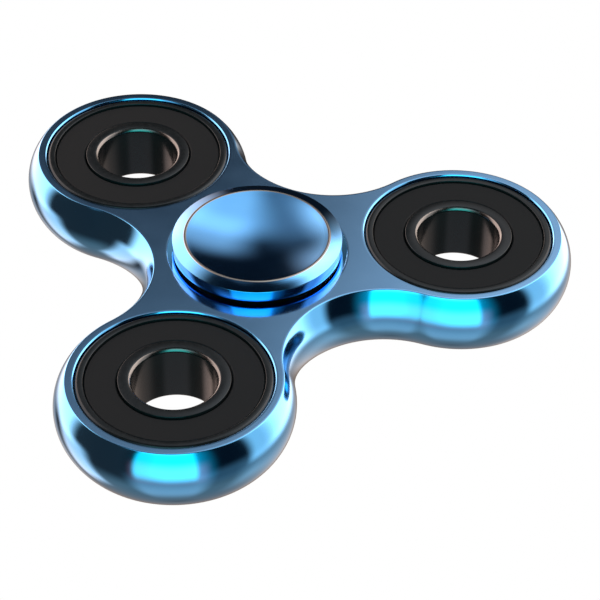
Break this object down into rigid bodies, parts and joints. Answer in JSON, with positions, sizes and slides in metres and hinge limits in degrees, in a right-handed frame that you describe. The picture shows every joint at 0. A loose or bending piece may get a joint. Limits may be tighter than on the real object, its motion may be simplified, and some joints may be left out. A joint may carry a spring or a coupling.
{
  "type": "fidget spinner",
  "caption": "Hand spinner with rounded lobes: a metal frame that turns on a sealed bearing between two dished finger caps, with an open bearing in each lobe.",
  "frame": {"origin": "on the spin axis, half way through the thickness of the frame", "axes": "+Z along the spin axis, towards the top finger cap; +X from the spin axis to the first lobe"},
  "size_m": [0.063, 0.0686, 0.0125],
  "materials": {
    "frame_anodised": "satin top and bottom faces, polished sides, blue anodised",
    "cap_anodised": "fine turned and polished, blue anodised",
    "black_steel": "satin, black oxide",
    "ball_steel": "polished",
    "nylon": "moulded",
    "seal_rubber": "moulded, satin"
  },
  "bodies": {
    "hub": {"top_cap": "cap_anodised", "bottom_cap": "cap_anodised", "center_inner_ring": "black_steel"},
    "rotor": {"frame": "frame_anodised", "center_outer_ring": "black_steel", "center_top_seal": "seal_rubber", "center_bottom_seal": "seal_rubber", "lobe1_outer_ring": "black_steel", "lobe1_top_seal": "seal_rubber", "lobe1_bottom_seal": "seal_rubber", "lobe2_outer_ring": "black_steel", "lobe2_top_seal": "seal_rubber", "lobe2_bottom_seal": "seal_rubber", "lobe3_outer_ring": "black_steel", "lobe3_top_seal": "seal_rubber", "lobe3_bottom_seal": "seal_rubber"},
    "center_cage": {"center_cage": "nylon", "center_balls": "ball_steel"},
    "lobe1_inner": {"lobe1_inner_ring": "black_steel"},
    "lobe1_cage": {"lobe1_cage": "nylon", "lobe1_balls": "ball_steel"},
    "lobe2_inner": {"lobe2_inner_ring": "black_steel"},
    "lobe2_cage": {"lobe2_cage": "nylon", "lobe2_balls": "ball_steel"},
    "lobe3_inner": {"lobe3_inner_ring": "black_steel"},
    "lobe3_cage": {"lobe3_cage": "nylon", "lobe3_balls": "ball_steel"}
  },
  "joints": [
    {"name": "rotor_spin", "type": "hinge", "parent": "hub", "child": "rotor", "pos_m": [0, 0, 0], "axis": [0, 0, 1], "continuous": true},
    {"name": "center_cage_spin", "type": "hinge", "parent": "hub", "child": "center_cage", "pos_m": [0, 0, 0], "axis": [0, 0, 1], "continuous": true},
    {"name": "lobe1_spin", "type": "hinge", "parent": "rotor", "child": "lobe1_inner", "pos_m": [0.02397, 0, 0.00015], "axis": [0, 0, 1], "continuous": true},
    {"name": "lobe1_cage_spin", "type": "hinge", "parent": "rotor", "child": "lobe1_cage", "pos_m": [0.02397, 0, 0.00015], "axis": [0, 0, 1], "continuous": true},
    {"name": "lobe2_spin", "type": "hinge", "parent": "rotor", "child": "lobe2_inner", "pos_m": [-0.01198, 0.02075, 0.00015], "axis": [0, 0, 1], "continuous": true},
    {"name": "lobe2_cage_spin", "type": "hinge", "parent": "rotor", "child": "lobe2_cage", "pos_m": [-0.01198, 0.02075, 0.00015], "axis": [0, 0, 1], "continuous": true},
    {"name": "lobe3_spin", "type": "hinge", "parent": "rotor", "child": "lobe3_inner", "pos_m": [-0.01198, -0.02075, 0.00015], "axis": [0, 0, 1], "continuous": true},
    {"name": "lobe3_cage_spin", "type": "hinge", "parent": "rotor", "child": "lobe3_cage", "pos_m": [-0.01198, -0.02075, 0.00015], "axis": [0, 0, 1], "continuous": true}
  ],
  "couplings": [
    {"joint": "center_cage_spin", "follows": "rotor_spin", "ratio": 0.62501},
    {"joint": "lobe1_cage_spin", "follows": "lobe1_spin", "ratio": 0.37499},
    {"joint": "lobe2_cage_spin", "follows": "lobe2_spin", "ratio": 0.37499},
    {"joint": "lobe3_cage_spin", "follows": "lobe3_spin", "ratio": 0.37499}
  ]
}
